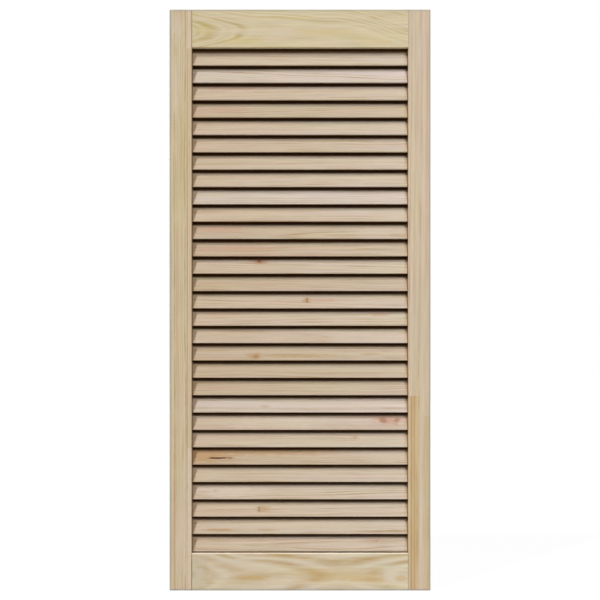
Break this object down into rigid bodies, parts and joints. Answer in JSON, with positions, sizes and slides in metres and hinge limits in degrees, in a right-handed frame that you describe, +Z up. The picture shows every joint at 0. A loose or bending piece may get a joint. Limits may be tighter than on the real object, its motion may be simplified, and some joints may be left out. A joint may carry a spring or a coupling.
{
  "type": "louvred wardrobe door",
  "caption": "Upright louvred cabinet door leaf in bare pine: stiles and rails round a bank of fixed, overlapping slats that let air through.",
  "frame": {"origin": "under the middle of the door, on the plane that its bottom edge stands on", "axes": "+X to the right seen from the front, +Y from the front face to the back face, +Z up"},
  "size_m": [0.494, 0.021, 1.1],
  "materials": {
    "stile_pine": "bare, sanded",
    "rail_pine": "bare, sanded",
    "slat_pine": "bare, sanded",
    "dowel_beech": "bare, turned"
  },
  "bodies": {
    "root": {"left_stile": "stile_pine", "right_stile": "stile_pine", "top_rail": "rail_pine", "bottom_rail": "rail_pine", "slat_01": "slat_pine", "slat_02": "slat_pine", "slat_03": "slat_pine", "slat_04": "slat_pine", "slat_05": "slat_pine", "slat_06": "slat_pine", "slat_07": "slat_pine", "slat_08": "slat_pine", "slat_09": "slat_pine", "slat_10": "slat_pine", "slat_11": "slat_pine", "slat_12": "slat_pine", "slat_13": "slat_pine", "slat_14": "slat_pine", "slat_15": "slat_pine", "slat_16": "slat_pine", "slat_17": "slat_pine", "slat_18": "slat_pine", "slat_19": "slat_pine", "slat_20": "slat_pine", "slat_21": "slat_pine", "slat_22": "slat_pine", "slat_23": "slat_pine", "slat_24": "slat_pine", "slat_25": "slat_pine", "slat_26": "slat_pine", "slat_27": "slat_pine", "slat_28": "slat_pine", "slat_29": "slat_pine", "top_rail_dowels": "dowel_beech", "bottom_rail_dowels": "dowel_beech"}
  },
  "joints": []
}
